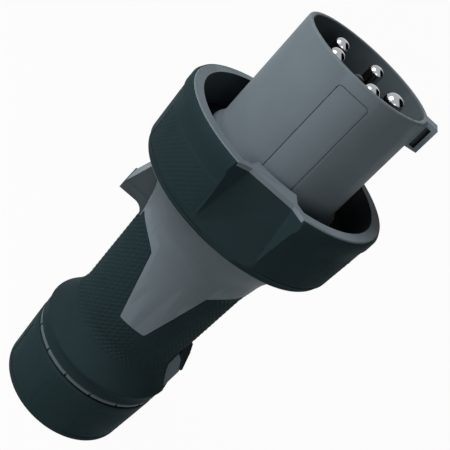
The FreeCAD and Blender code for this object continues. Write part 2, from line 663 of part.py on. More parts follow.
def ring_grip():
    """Soft sleeve of the ring, with four sunken grip pads and a dip over each cam."""
    band = RING_FACE - RING_BAND_HEIGHT
    rear_band = RING_REAR + RING_REAR_BAND
    outer = RING_GRIP_RADIUS - RING_GRIP_STEP
    rear = outer - RING_TAPER
    lip_low = RING_FACE - RING_LIP_THICKNESS
    end = rear - RING_REAR_STEP
    q = RING_REAR_ROUND
    k = q * (1 - math.sqrt(0.5))
    body = turned([
        (0, RING_REAR), (end - q, RING_REAR), arc((end - k, RING_REAR + k), (end, RING_REAR + q)),
        (end, rear_band - EDGE), (rear, rear_band + EDGE), (outer, band - WIDE_EDGE),
        (RING_GRIP_RADIUS, band + WIDE_EDGE), (RING_GRIP_RADIUS, RING_FACE - 2 * WIDE_EDGE),
        (RING_LIP_RADIUS + EDGE, RING_FACE - EDGE), (RING_LIP_RADIUS, RING_FACE - EDGE),
        (RING_LIP_RADIUS, lip_low), (0, lip_low)])
    for turn in (0, 180):
        body = body.cut(spun(dip_tool(DIP_DEPTH, RING_REAR - 1, RING_FACE + 1), turn))
    body = body.cut(ring_core())
    pad_top = RING_FACE - PAD_TOP_DROP
    pad_low = rear_band + WIDE_EDGE
    shell = turned([(rear - PAD_RECESS, pad_low), (rear + 3, pad_low), (rear + 3, pad_top),
                    (outer - PAD_RECESS, pad_top)])
    for pad in grip_pads(shell, pad_low, pad_top):
        body = body.cut(pad)
    return body


def grip_pads(shell, low, high):
    """The four stretches of a turned shell where a hand grips, between the dips."""
    pads = []
    for turn in (0, 180):
        for start in (-90 + PAD_START_DEG, -90 - PAD_START_DEG - PAD_SPAN_DEG):
            wedge = sector(2 * RING_GRIP_RADIUS, low, high, start + turn, start + turn + PAD_SPAN_DEG)
            pads.append(shell.common(wedge))
    return pads


def handle_outer(bed):
    """Outside of the handle from the collar to the shoulder, the grip's stretch lowered by bed."""
    r0 = SHELL_SHOULDER_RADIUS
    low = SHOULDER_LOW
    middle = CREST + BULGE_HEIGHT * 0.56
    return turned([
        (0, COLLAR_LOW), (COLLAR_RADIUS, COLLAR_LOW), (COLLAR_RADIUS, COLLAR_LOW + COLLAR_BAND),
        (BULGE_RADIUS - 0.3, CREST - 1.3),
        arc((BULGE_RADIUS, CREST - 0.2), (BULGE_RADIUS - EDGE, CREST + WIDE_EDGE)),
        arc((WAIST_RADIUS + 2.6 - bed / 2, middle), (WAIST_RADIUS - bed, WAIST)),
        (GRIP_TOP_RADIUS - bed, LUG_REAR - LUG_BACK_RISE),
        (NECK_RADIUS - NECK_LEAD_STEP - bed, NECK - NECK_LEAD), (NECK_RADIUS, NECK),
        arc((NECK_RADIUS + NECK_BOW, NECK + NECK_DROP * 0.56), (r0 - 1.5, low)),
        (r0, low + 1.5), (r0, SHELL_TOP - WIDE_EDGE), (r0 - WIDE_EDGE, SHELL_TOP), (0, SHELL_TOP)])


def handle_core():
    """Inner boundary of the soft grip, the hard shell's own surface under it."""
    crest = BULGE_RADIUS - BULGE_SKIN
    return turned([
        (0, COLLAR_LOW - 1), (crest - 0.6, COLLAR_LOW - 1), (crest, CREST),
        arc((WAIST_RADIUS + 0.8, CREST + BULGE_HEIGHT * 0.56), (WAIST_RADIUS - SKIN, WAIST)),
        (GRIP_TOP_RADIUS - SKIN, LUG_REAR - LUG_BACK_RISE),
        (NECK_RADIUS - NECK_LEAD_STEP - SKIN, NECK - NECK_LEAD), (0, NECK - NECK_LEAD)])


def tongue_tool():
    """Everything inside this block is hard shell: the neck and the tongue on both sides."""
    tip = TONGUE_TIP
    root = GRIP_FRONT - TONGUE_ROOT_DROP
    a = TONGUE_TIP_HALF_WIDTH
    b = TONGUE_ROOT_HALF_WIDTH
    r = GRIP_TOP_RADIUS
    far = SHELL_SHOULDER_RADIUS + 8
    low = LUG_REAR - LUG_BACK_RISE
    q = TONGUE_ROUND
    right = [(a - q, tip), arc((a - 0.25 * q, tip + 0.2 * q), (a + 0.2 * q, tip + q)), (b, root),
             arc((b + 7.3, GRIP_FRONT - 2.3), (r, GRIP_FRONT)), (far, GRIP_FRONT), (far, SHELL_TOP + 5)]
    left = [(-far, SHELL_TOP + 5), (-far, low), (-r + 1.4, low), (-r + 1.4, GRIP_FRONT - 0.7),
            arc((-b - 7.3, GRIP_FRONT - 2.3), (-b, root)), (-a - 0.2 * q, tip + q),
            arc((-a + 0.25 * q, tip + 0.2 * q), (-a + q, tip))]
    return side_plate(right + left, far)


def latch_pocket():
    """Recess that the latch lever lies in, with a slot for its tail."""
    half = LEVER_HALF_WIDTH + PRESS_ROOM
    top = LEVER_NOSE + 1.5
    pocket = box(POCKET_FLOOR, BULGE_RADIUS + 5, -half, half, CREST - 1.5, top)
    tail = box(LEVER_TAIL_X - PRESS_ROOM, LEVER_TAIL_X + LEVER_TAIL_THICKNESS + LEVER_SWING,
               -LEVER_TAIL_HALF_WIDTH - PRESS_ROOM, LEVER_TAIL_HALF_WIDTH + PRESS_ROOM,
               COLLAR_LOW - 1, CREST)
    return pocket.fuse(tail)


def lid_lug():
    """Ramp with a wider lip at its rear, caught by the socket's lid."""
    root = NECK_RADIUS - 4.5
    high = LUG_REAR + LUG_LIP_THICKNESS
    low = LUG_REAR - LUG_BACK_RISE
    skin = GRIP_TOP_RADIUS - 0.4
    ramp_top = high + LUG_RAMP_LENGTH
    ramp = side_plate([(-root, ramp_top), (-LUG_REACH + LUG_RAMP_DROP, ramp_top),
                       (-LUG_REACH, high), (-LUG_REACH, LUG_REAR), (-root, LUG_REAR)],
                      LUG_HALF_WIDTH)
    foot = -LUG_REACH + LUG_FOOT
    lip = side_plate([(-root, high), (-LUG_REACH - 0.5, high), (-LUG_REACH - 0.5, LUG_REAR),
                      (foot, LUG_REAR), arc((-skin - 1.9, LUG_REAR - 1.6), (-skin, low)),
                      (-root, low)], LUG_HALF_WIDTH + LUG_LIP_EXTRA)
    return ramp.fuse(lip)


def shell_inside():
    """Hollow of the shell: bore for the spigot, wiring space and bore for the cage."""
    spigot_bore = SPIGOT_RADIUS + SEAT_GAP
    seat = SPIGOT_END - WIDE_EDGE
    cage_top = CAGE_LOW + CAGE_HEIGHT + EDGE
    neck_inner = NECK_RADIUS - SHELL_WALL
    groove = SPIGOT_RADIUS + SNAP_REACH + RUN_GAP
    groove_top = SPIGOT_END + SNAP_HEIGHT + RUN_GAP
    return turned([
        (0, TUBE_FOOT - 1), (TUBE_BORE, TUBE_FOOT - 1), (TUBE_BORE, cage_top),
        (WIRE_SPACE_RADIUS, cage_top + 3), (WIRE_SPACE_RADIUS, WAIST),
        (GRIP_TOP_RADIUS - SKIN - SHELL_WALL, LUG_REAR - LUG_BACK_RISE), (neck_inner, NECK + 2),
        (spigot_bore - SPIGOT_WALL + WIDE_EDGE, seat), (groove, seat), (groove, groove_top),
        (spigot_bore, groove_top), (spigot_bore, SHELL_TOP + 1), (0, SHELL_TOP + 1)])


def handle_shell():
    """Hard grey shell with its tongues, lid lug and thread tube."""
    outer = handle_outer(0)
    hard = handle_core().common(tube(BULGE_RADIUS, 0, COLLAR_LOW, SHELL_TOP))
    hard = hard.fuse(outer.common(tongue_tool()))
    thread_tube = tube(TUBE_RADIUS, 0, TUBE_FOOT, COLLAR_LOW + 2)
    body = fused([hard, thread_tube, lid_lug()])
    body = body.cut(shell_inside()).cut(latch_pocket())
    return body.cut(cross_rod(LEVER_PIN_RADIUS + SEAT_GAP, LEVER_PIN_LENGTH / 2 + SEAT_GAP)).removeSplitter()


def handle_grip():
    """Soft skin of the handle, open at the tongues."""
    body = handle_outer(KNURL_DEPTH).cut(handle_core()).cut(tongue_tool()).cut(lid_lug())
    body = body.common(tube(BULGE_RADIUS + 1, 0, COLLAR_LOW, GRIP_FRONT + 1))
    pin_room = cross_rod(LEVER_PIN_RADIUS + SEAT_GAP, LEVER_PIN_LENGTH / 2 + SEAT_GAP)
    return body.cut(latch_pocket()).cut(pin_room)


def cross_rod(radius, reach):
    """Rod along Y where the lever's pin sits, reaching the same way to both sides."""
    return Part.makeCylinder(radius, 2 * reach, Vector(LEVER_PIN_X, -reach, LEVER_PIN_Z), Vector(0, 1, 0))


def pad_line():
    """Front end, kink and rear end of the slope that the pad's top follows."""
    return [(LEVER_UNDERSIDE + EDGE, LEVER_NOSE), (PAD_KINK_X, LEVER_NOSE - PAD_KINK_DROP),
            (PAD_REAR_X, LEVER_NOSE - PAD_DROP)]


def pad_bed():
    """The same slope one pad's thickness lower, where the pad is bonded on."""
    front, kink, rear = pad_line()
    return [(front[0] - EDGE, front[1] - PAD_THICKNESS), (kink[0] - PAD_THICKNESS, kink[1] - PAD_THICKNESS),
            (rear[0] - PAD_THICKNESS, rear[1])]


def lever_body():
    """Rocking lever: press its front and the tail swings out of the ratchet ring."""
    low = CREST - EDGE
    rear = LEVER_NOSE - PAD_DROP
    body = side_plate([
        (LEVER_PIN_X - 2.0, low + 1.5), (LEVER_TAIL_X, low), (LEVER_TOP - EDGE, low),
        (LEVER_TOP, low + WIDE_EDGE), (LEVER_TOP, rear - PAD_THICKNESS)] + pad_bed()[::-1] + [
        (LEVER_UNDERSIDE, LEVER_PIN_Z + 4.5), (LEVER_PIN_X - 2.0, LEVER_PIN_Z + 2.5)],
        LEVER_HALF_WIDTH)
    tail = box(LEVER_TAIL_X, LEVER_TAIL_X + LEVER_TAIL_THICKNESS, -LEVER_TAIL_HALF_WIDTH,
               LEVER_TAIL_HALF_WIDTH, COLLAR_LOW, low + 3)
    return fused([body, tail]).cut(cross_rod(LEVER_PIN_RADIUS + SEAT_GAP, LEVER_HALF_WIDTH + 1))


def lever_pad():
    """Soft ribbed pad on the front slope of the lever."""
    front, kink, rear = pad_line()
    run = (rear[0] - kink[0], rear[1] - kink[1])
    length = math.hypot(run[0], run[1])

    def on_slope(share, lift):
        return (kink[0] + run[0] * share - run[1] / length * lift,
                kink[1] + run[1] * share + run[0] / length * lift)

    ribs = []
    for i in range(PAD_RIBS):
        step = 1.0 / PAD_RIBS
        ribs.append(on_slope((i + 0.15) * step, 0))
        ribs.append(on_slope((i + 0.5) * step, PAD_RIB_HEIGHT))
        ribs.append(on_slope((i + 0.85) * step, 0))
    points = [front, kink] + ribs + [rear] + pad_bed()[::-1]
    return side_plate(points, LEVER_HALF_WIDTH)


def lever_pin():
    return cross_rod(LEVER_PIN_RADIUS, LEVER_PIN_LENGTH / 2)


def lever_spring():
    """Bent leaf on the pocket's floor that pushes the lever back near its pin."""
    t = SPRING_THICKNESS
    free = LEVER_PIN_Z + SPRING_REACH
    end = free + SPRING_LENGTH
    bend = free + 3.0
    return side_plate([(POCKET_FLOOR, end), (POCKET_FLOOR, bend), (POCKET_FLOOR + SPRING_LIFT, free),
                       (POCKET_FLOOR + SPRING_LIFT + t, free), (POCKET_FLOOR + t, bend),
                       (POCKET_FLOOR + t, end)], SPRING_HALF_WIDTH)


def ratchet_ring():
    """Thin ring on the nut with notches for the lever's tail."""
    ring = turned([(NUT_BORE + 0.6, RATCHET_LOW), (RATCHET_RADIUS, RATCHET_LOW),
                   (RATCHET_RADIUS, RATCHET_TOP - 0.4), (RATCHET_RADIUS - 0.4, RATCHET_TOP),
                   (NUT_BORE + 0.6, RATCHET_TOP)])
    notch = box(RATCHET_RADIUS - RATCHET_NOTCH_DEPTH, RATCHET_RADIUS + 1,
                -RATCHET_NOTCH_WIDTH / 2, RATCHET_NOTCH_WIDTH / 2, RATCHET_LOW - 1, RATCHET_TOP + 1)
    for i in range(RATCHET_NOTCHES):
        ring = ring.cut(spun(notch, 90 + i * 360.0 / RATCHET_NOTCHES))
    return ring


def gland_nut():
    """Cap nut with an open foot for the cable."""
    q = NUT_FOOT_ROUND
    k = q * (1 - math.sqrt(0.5))
    foot = NUT_FOOT_RADIUS
    top = NUT_TOP_RADIUS
    side_low = NUT_FOOT_ROUND
    side_high = NUT_HEIGHT - WIDE_EDGE
    body = turned([
        (NUT_MOUTH_RADIUS + WIDE_EDGE, 0), (foot - q, 0), arc((foot - k, k), (foot, q)),
        (top, side_high), (top - EDGE, NUT_HEIGHT), (NUT_NECK_RADIUS, NUT_HEIGHT),
        (NUT_NECK_RADIUS, RATCHET_LOW), (NUT_BORE, RATCHET_LOW), (NUT_BORE, NUT_FLOOR),
        (NUT_MOUTH_RADIUS, NUT_FLOOR), (NUT_MOUTH_RADIUS, WIDE_EDGE)])

    def bed(height):
        share = (height - side_low) / (side_high - side_low)
        return foot + (top - foot) * share - NUT_PAD_RECESS

    low = NUT_PAD_LOW
    high = NUT_PAD_LOW + NUT_PAD_HEIGHT
    shell = turned([(bed(low), low), (top + 1, low), (top + 1, high), (bed(high), high)])
    for pad in grip_pads(shell, low, high):
        body = body.cut(pad)
    return body


def thrust_ring():
    """Slip ring between the nut's floor and the cage's fingers."""
    low = NUT_FLOOR + RUN_GAP
    return turned([(NUT_MOUTH_RADIUS + 2.0, low), (NUT_BORE - 1.0, low),
                   (NUT_BORE - 1.0, low + THRUST_HEIGHT), (CAGE_RADIUS - 1.0, low + THRUST_HEIGHT),
                   (NUT_MOUTH_RADIUS + 4.0, low + THRUST_HEIGHT - 1.2),
                   (NUT_MOUTH_RADIUS + 2.0, low + THRUST_HEIGHT - 1.2)])


def clamp_cage():
    """Slotted cage whose fingers grip the cable seal."""
    low = CAGE_LOW
    high = low + CAGE_HEIGHT
    body = turned([(CAGE_BORE, low), (CAGE_RADIUS - 1.2, low), (CAGE_RADIUS, low + 2.5),
                   (CAGE_RADIUS, high), (CAGE_BORE, high)])
    slot = box(CAGE_BORE - 1, CAGE_RADIUS + 1, -CAGE_SLOT_WIDTH / 2, CAGE_SLOT_WIDTH / 2,
               low - 1, low + CAGE_SLOT_HEIGHT)
    for i in range(CAGE_SLOTS):
        body = body.cut(spun(slot, (i + 0.5) * 360.0 / CAGE_SLOTS))
    return body


def sealing_insert():
    """Rubber bush for the cable, with sealing ribs in its bore."""
    low = CAGE_LOW + 0.6
    high = CAGE_LOW + CAGE_HEIGHT - 0.6
    b = SEAL_INSERT_BORE
    outer = CAGE_BORE - SEAT_GAP
    body = turned([(b + 2.0, low), (outer, low), (outer, high), (b + 2.0, high), (b, high - 2.0),
                   (b, low + 2.0)])
    step = (high - low) / (SEAL_INSERT_RIBS + 1)
    for i in range(SEAL_INSERT_RIBS):
        z = low + (i + 1) * step
        body = body.cut(turned([(b - 1, z - 0.8), (b + 0.9, z - 0.4), (b + 0.9, z + 0.4),
                                (b - 1, z + 0.8)]))
    return body


def build():
    parts = {
        "front_housing": front_housing(),
        "contact_carrier": contact_carrier(),
        "carrier_back_plate": carrier_back(),
        "carrier_screws": carrier_screws(),
        "pin_pilot": placed_pin("pin_pilot", 0),
        "terminal_screws": terminal_screws(),
        "face_gasket": face_gasket(),
        "housing_seal": housing_seal(),
        "bayonet_ring": bayonet_ring(),
        "ring_grip": ring_grip(),
        "handle_shell": handle_shell(),
        "handle_grip": handle_grip(),
        "latch_lever": lever_body(),
        "latch_pad": lever_pad(),
        "latch_pin": lever_pin(),
        "latch_spring": lever_spring(),
        "ratchet_ring": ratchet_ring(),
        "gland_nut": gland_nut(),
        "thrust_ring": thrust_ring(),
        "clamp_cage": clamp_cage(),
        "sealing_insert": sealing_insert(),
    }
    for name, angle in pole_places():
        parts[name] = placed_pin(name, angle)
    return parts


os.makedirs("parts", exist_ok=True)
for name, shape in sorted(build().items()):
    shape.exportStep("parts/" + name + ".step")
    print(name, "solids", len(shape.Solids), "volume", round(shape.Volume, 1),
          "valid", shape.isValid())
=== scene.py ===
import json
import math

import bmesh
import bpy
from mathutils import Matrix, Vector

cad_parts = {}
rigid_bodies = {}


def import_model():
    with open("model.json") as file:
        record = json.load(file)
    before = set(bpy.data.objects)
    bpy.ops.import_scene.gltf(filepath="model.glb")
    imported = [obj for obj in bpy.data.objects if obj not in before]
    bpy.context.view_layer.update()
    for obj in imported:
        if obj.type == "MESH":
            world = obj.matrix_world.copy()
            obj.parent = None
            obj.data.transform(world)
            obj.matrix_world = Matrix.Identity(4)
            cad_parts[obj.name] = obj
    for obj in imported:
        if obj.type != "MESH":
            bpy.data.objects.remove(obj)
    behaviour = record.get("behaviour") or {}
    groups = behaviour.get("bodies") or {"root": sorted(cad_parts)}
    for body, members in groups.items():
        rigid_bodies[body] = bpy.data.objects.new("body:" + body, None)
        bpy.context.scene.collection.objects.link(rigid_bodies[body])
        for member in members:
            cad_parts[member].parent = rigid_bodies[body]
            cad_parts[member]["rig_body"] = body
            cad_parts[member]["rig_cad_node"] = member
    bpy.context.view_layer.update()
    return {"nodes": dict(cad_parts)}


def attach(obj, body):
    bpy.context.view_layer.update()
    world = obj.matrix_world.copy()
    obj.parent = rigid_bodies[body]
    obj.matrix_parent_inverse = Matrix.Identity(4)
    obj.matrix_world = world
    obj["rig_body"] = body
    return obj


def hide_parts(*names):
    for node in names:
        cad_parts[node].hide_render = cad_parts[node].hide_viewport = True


bl_info = {
    "name": "Industrial plug looks",
    "version": (1, 0, 0),
    "blender": (4, 5, 0),
    "location": "View3D > Sidebar > Plug",
    "description": "Dresses the packed industrial plug with finished pieces, finishes and a studio stage",
    "category": "Object",
}

MM = 0.001
FULL_TURN = 2 * math.pi
WELD = 0.004 * MM                      # vertices closer than this are one
FLAT_ANGLE = math.radians(0.6)         # facets that differ less than this are one flat face
SHARP_ANGLE = math.radians(34)         # edges that turn more than this stay sharp

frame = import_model()

# Places on the plug, and measures that several pieces share
AXIS = (0.0, 0.0, 0.0)
PAD_STARTS = (-71.5, -162.5, 108.5, 17.5)   # degrees from +X where the four grip pads begin
PAD_SPAN = 54.0                             # degrees that each pad covers
PAD_MARGIN = 0.35 * MM                      # plain border between a pad's edge and its knurl
LATCH_PLACE = (36 * MM, 0, 61.5 * MM)       # middle of the room that the latch lever moves in
LATCH_ROOM = (20 * MM, 21.4 * MM, 37 * MM)
LUG_ROOT = -30 * MM                         # the lug's flanks stand outside this x
LUG_LIP = -37.5 * MM                        # its lip stands outside this x, below LUG_TOP
LUG_TOP = 139 * MM
# the ranges of x, y and z that hold the walls of the key's slots, which get painted shade
KEY_SLOT = ((36.3 * MM, 39.4 * MM), (-4.1 * MM, 4.1 * MM), (236.7 * MM, 247.9 * MM))
SKIN_LIFT = 0.07 * MM                       # a knurled skin's valleys over the bed that carries it
PAD_BACKING = 0.3 * MM                      # how deep a pad's skin reaches into its bed
GRIP_BACKING = 0.5 * MM                     # the same for the handle's skin
GRIP_RADIUS = 34 * MM                       # about the handle's radius, for the number of diamonds round it
GRIP_LINE = 24                              # degrees from +X where the handle's outline is taken
GRIP_SWELL = 1.03                           # the grip's copy that trims the knurl is this much wider
INWARD = -0.6                               # a face that looks inwards more than this is an inner wall, which gets painted shade
FLANK = 0.9                                 # a face that looks along Y more than this is a lug's flank, which gets painted shade
OUTSIDE = 200 * MM                          # a place well outside the plug

# Sizes of the marks in the finishes
FLOW_SIZE = 25 * MM                         # cloudy flow marks of a moulding
SMEAR_SIZE = 9 * MM                         # patches of higher and lower gloss
HAZE_SIZE = 3 * MM                          # haze of a plating
RING_DEPTH = 0.01 * MM                      # rings that a lathe leaves under the plating
BOARD_MOTTLE = 400 * MM
FELT_NAP = 2 * MM

# Stage: directions from the middle of the plug, then distance and width in metres, then watts
STAGE_MIDDLE = Vector((0, 0, 130 * MM))
KEY_LAMP = (Vector((-0.74, -0.25, 0.62)), 1.3, 1.0, 18.0)
FILL_LAMP = (Vector((0.27, -0.94, 0.20)), 1.6, 1.0, 6.0)
DARK_CARD = (Vector((0.68, 0.34, 0.58)), 0.9, 1.2)
FLOOR_DROP = 0.1 * MM                       # the floor lies this far under the plug's foot
FLOOR_GLOW = 0.965                          # share of white that the camera sees in the floor
ROOM_LIGHT = 0.05                           # strength of the room's light on the plug

# Camera, fitted to the photo's circles and outline
CAMERA_PLACE = (-42.27 * MM, -371.0 * MM, 325.51 * MM)
CAMERA_RIGHT = Vector((0.75148, 0.21560, 0.62355))
CAMERA_UP = Vector((-0.65102, 0.39579, 0.64773))
CAMERA_BACK = Vector((-0.10715, -0.89268, 0.43777))
CAMERA_LENS = 66.37
CAMERA_SENSOR = 36
CAMERA_NEAR = 10 * MM


def linear(code):
    """sRGB hex colour, such as "#8899AA", as the linear red, green and blue that shaders use."""
    values = [int(code[i:i + 2], 16) / 255 for i in (1, 3, 5)]
    return [v / 12.92 if v <= 0.04045 else ((v + 0.055) / 1.055) ** 2.4 for v in values]


def size(name, description, default_mm):
    """Property for a length, whose default is given in millimetres."""
    return bpy.props.FloatProperty(name=name, description=description, default=default_mm * MM,
                                   min=0.0, subtype="DISTANCE", unit="LENGTH")


def colour(name, description, code):
    """Property for a colour, whose default is given as sRGB hex."""
    return bpy.props.FloatVectorProperty(name=name, description=description, subtype="COLOR",
                                         size=3, min=0.0, max=1.0, default=linear(code))


class PlugSizes(bpy.types.PropertyGroup):
    handle_pitch: size("Handle knurl pitch", "Distance between diamond points on the handle", 3.0)
    handle_rise: size("Handle knurl height", "How far a diamond point stands out of the handle", 0.45)
    handle_low: size("Handle knurl start", "Height of the knurling's lower edge", 60.6)
    handle_high: size("Handle knurl end", "Height of the knurling's upper edge", 127.2)
    pad_pitch: size("Ring pad pitch", "Distance between diamond points on the ring's pads", 2.9)
    pad_rise: size("Ring pad height", "How far a diamond point stands out of a ring pad", 0.33)
    pad_low: size("Ring pad start", "Height of a ring pad's lower edge", 162.2)
    pad_high: size("Ring pad end", "Height of a ring pad's upper edge", 183.3)
    nut_pitch: size("Nut pad pitch", "Distance between diamond points on the gland nut's pads", 2.9)
    nut_rise: size("Nut pad height", "How far a diamond point stands out of a nut pad", 0.3)
    nut_low: size("Nut pad start", "Height of a nut pad's lower edge", 4.0)
    nut_high: size("Nut pad end", "Height of a nut pad's upper edge", 29.0)
    edge: size("Edge round", "Rounding that a mould leaves on an edge", 0.3)
    floor_width: size("Floor width", "Width of the studio floor", 16000)


class PlugColours(bpy.types.PropertyGroup):
    grey: colour("Grey nylon", "Shroud, shell, ring face and lever", "#6C777D")
    notch_grey: colour("Dark grey nylon", "Notched ring on the gland nut", "#5A6469")
    black: colour("Black elastomer", "Soft sleeve of the ring and grip of the handle", "#263437")
    nut: colour("Black nylon", "Gland nut", "#27373A")
    insulator: colour("Insulator", "Block that holds the pins", "#23282B")
    gasket: colour("Seal rubber", "Flat gasket in the ring", "#1B1A19")
    nickel: colour("Nickel", "Plating of the contacts", "#A9ACAE")
    # painted shade: the pilot pin's brass is coloured brown-black for the shade it stands in
    dark: colour("Brass with painted shade", "Pilot pin", "#2E2D2C")
    zinc: colour("Zinc", "Plating of screws, pin and spring", "#B9BCBF")
    floor: colour("Floor", "Studio floor and backdrop", "#9C9C9C")


def sizes():
    return bpy.context.scene.plug_sizes


def colours():
    return bpy.context.scene.plug_colours


# Helpers that every piece uses

def pick(obj):
    """Make obj the only selected object and the active one."""
    bpy.ops.object.select_all(action="DESELECT")
    obj.select_set(True)
    bpy.context.view_layer.objects.active = obj


def applied(obj, kind, **settings):
    """Give obj a modifier with these settings and apply it."""
    pick(obj)
    made = obj.modifiers.new(kind.title(), kind)
    for name, value in settings.items():
        setattr(made, name, value)
    bpy.ops.object.modifier_apply(modifier=made.name)


def seated(obj, body, finish):
    """Last steps of a piece: soft shading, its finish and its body."""
    pick(obj)
    bpy.ops.object.transform_apply(location=True, rotation=True, scale=True)
    bpy.ops.object.shade_smooth_by_angle(angle=SHARP_ANGLE)
    obj.data.materials.clear()
    obj.data.materials.append(finish)
    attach(obj, body)
    return obj


def copied(node, name):
    """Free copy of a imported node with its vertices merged."""
    pick(frame["nodes"][node])
    bpy.ops.object.duplicate()
    piece = bpy.context.active_object
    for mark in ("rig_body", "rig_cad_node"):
        del piece[mark]
    piece.name = name
    bpy.ops.object.parent_clear(type="CLEAR_KEEP_TRANSFORM")
    bpy.ops.mesh.customdata_custom_splitnormals_clear()
    bpy.ops.object.mode_set(mode="EDIT")
    bpy.ops.mesh.select_all(action="SELECT")
    bpy.ops.mesh.remove_doubles(threshold=WELD)
    bpy.ops.object.mode_set(mode="OBJECT")
    return piece


def dressed(node, body, finish, edge=None):
    """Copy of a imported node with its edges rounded; it stands for the node."""
    piece = copied(node, node + "_finished")
    bpy.ops.object.mode_set(mode="EDIT")
    bpy.ops.mesh.select_all(action="SELECT")
    bpy.ops.mesh.dissolve_limited(angle_limit=FLAT_ANGLE)
    bpy.ops.object.mode_set(mode="OBJECT")
    if edge:
        applied(piece, "BEVEL", width=edge, segments=2, limit_method="ANGLE", angle_limit=SHARP_ANGLE,
                use_clamp_overlap=True, miter_outer="MITER_ARC")
    seated(piece, body, finish)
    applied(piece, "WEIGHTED_NORMAL", keep_sharp=True, weight=50)
    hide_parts(node)
    return piece


def in_key_slot(face):
    """True for the walls of the two slots in the shroud's key, which get painted shade."""
    return all(low < value < high for value, (low, high) in zip(face.center, KEY_SLOT))


def on_lug(face):
    """True for the lid lug's flat flanks and for its lip, which get painted shade for the ring's shadow that
    the lamps don't cast.
    """
    flank = abs(face.normal.y) > FLANK and face.center.x < LUG_ROOT
    return flank or (face.center.x < LUG_LIP and face.center.z < LUG_TOP)


def mark_painted_shade(piece, also=None):
    """Mark for painted shade the faces that look towards the plug's axis, and the others that also picks out.
    """
    marks = piece.data.attributes.new("painted_shade_mark", "FLOAT", "FACE")
    for face, mark in zip(piece.data.polygons, marks.data):
        across = Vector((face.center.x, face.center.y, 0)).normalized()
        dark = face.normal.dot(across) < INWARD or (also and also(face))
        mark.value = 1.0 if dark else 0.0


def swept(name, outline, steps, start, span):
    """Grid swept about the plug's axis from an outline of (radius, height) points in metres."""
    bpy.ops.object.select_all(action="DESELECT")
    bpy.ops.mesh.primitive_plane_add(size=MM, location=(outline[0][0], 0, outline[0][1]))
    piece = bpy.context.active_object
    piece.name = name
    bpy.ops.object.transform_apply(location=True, rotation=True, scale=True)
    bpy.ops.object.mode_set(mode="EDIT")
    bpy.ops.mesh.select_mode(type="VERT")
    bpy.ops.mesh.select_all(action="SELECT")
    bpy.ops.mesh.merge(type="CENTER")
    for last, point in zip(outline, outline[1:]):
        move = (point[0] - last[0], 0, point[1] - last[1])
        bpy.ops.mesh.extrude_region_move(TRANSFORM_OT_translate={"value": move})
    bpy.ops.mesh.select_all(action="SELECT")
    bpy.ops.mesh.spin(steps=steps, angle=-math.radians(span), center=AXIS, axis=(0, 0, 1))
    bpy.ops.mesh.select_all(action="SELECT")
    bpy.ops.transform.rotate(value=-math.radians(start), orient_axis="Z", center_override=AXIS)
    bpy.ops.mesh.remove_doubles(threshold=WELD)
    bpy.ops.mesh.normals_make_consistent(inside=False)
    bpy.ops.object.mode_set(mode="OBJECT")
    middle = piece.data.polygons[0]
    if middle.normal.x * middle.center.x + middle.normal.y * middle.center.y < 0:
        bpy.ops.object.mode_set(mode="EDIT")
        bpy.ops.mesh.select_all(action="SELECT")
        bpy.ops.mesh.flip_normals()
        bpy.ops.object.mode_set(mode="OBJECT")
    return piece


def knurled(piece, rise, backing):
    """Turn a grid of squares into a backed skin with rows of raised diamond points."""
    squares = len(piece.data.polygons)
    applied(piece, "SOLIDIFY", thickness=backing, offset=-1)
    bpy.ops.object.mode_set(mode="EDIT")
    bpy.ops.mesh.select_mode(type="FACE")
    bpy.ops.mesh.select_all(action="DESELECT")
    mesh = bmesh.from_edit_mesh(piece.data)
    mesh.faces.ensure_lookup_table()
    corners = set()
    for face in mesh.faces[:squares]:
        face.select_set(True)
        corners.update(v.index for v in face.verts)
    bmesh.update_edit_mesh(piece.data)
    bpy.ops.mesh.poke()

    # the old square edges go, so that four triangles round each corner make a diamond
    bpy.ops.mesh.select_mode(type="EDGE")
    bpy.ops.mesh.select_all(action="DESELECT")
    mesh = bmesh.from_edit_mesh(piece.data)
    for edge in mesh.edges:
        both = all(v.index in corners for v in edge.verts)
        if both and all(len(f.verts) == 3 for f in edge.link_faces):
            edge.select_set(True)
    bmesh.update_edit_mesh(piece.data)
    bpy.ops.mesh.dissolve_edges(use_verts=False)

    bpy.ops.mesh.select_mode(type="FACE")
    bpy.ops.mesh.select_all(action="DESELECT")
    mesh = bmesh.from_edit_mesh(piece.data)
    for face in mesh.faces:
        outer = sum(v.index in corners for v in face.verts)
        if len(face.verts) == 4 and outer == 2:
            face.select_set(True)
    bmesh.update_edit_mesh(piece.data)
    bpy.ops.mesh.poke(offset=rise)
    bpy.ops.object.mode_set(mode="OBJECT")
    return piece


def radius_at(node, degrees, height):
    """Distance from the plug's axis to a node's skin, at an angle from +X and a height."""
    skin = frame["nodes"][node]
    inward = skin.matrix_world.inverted()
    turn = math.radians(degrees)
    out = Vector((math.cos(turn), math.sin(turn), 0))
    start = out * OUTSIDE + Vector((0, 0, height))
    bpy.context.view_layer.update()
    hit, place, normal, face = skin.ray_cast(inward @ start, inward.to_3x3() @ -out,
                                             depsgraph=bpy.context.evaluated_depsgraph_get())
    if not hit:
        raise RuntimeError(f"{node} has no skin at height {height}")
    place = skin.matrix_world @ place
    return math.hypot(place.x, place.y)


def skin_line(node, degrees, low, high, pitch):
    """Outline just outside a node's skin between two heights, divided to about the pitch."""
    count = max(1, round((high - low) / pitch))
    heights = [low + (high - low) * i / count for i in range(count + 1)]
    return [(radius_at(node, degrees, height) + SKIN_LIFT, height) for height in heights]


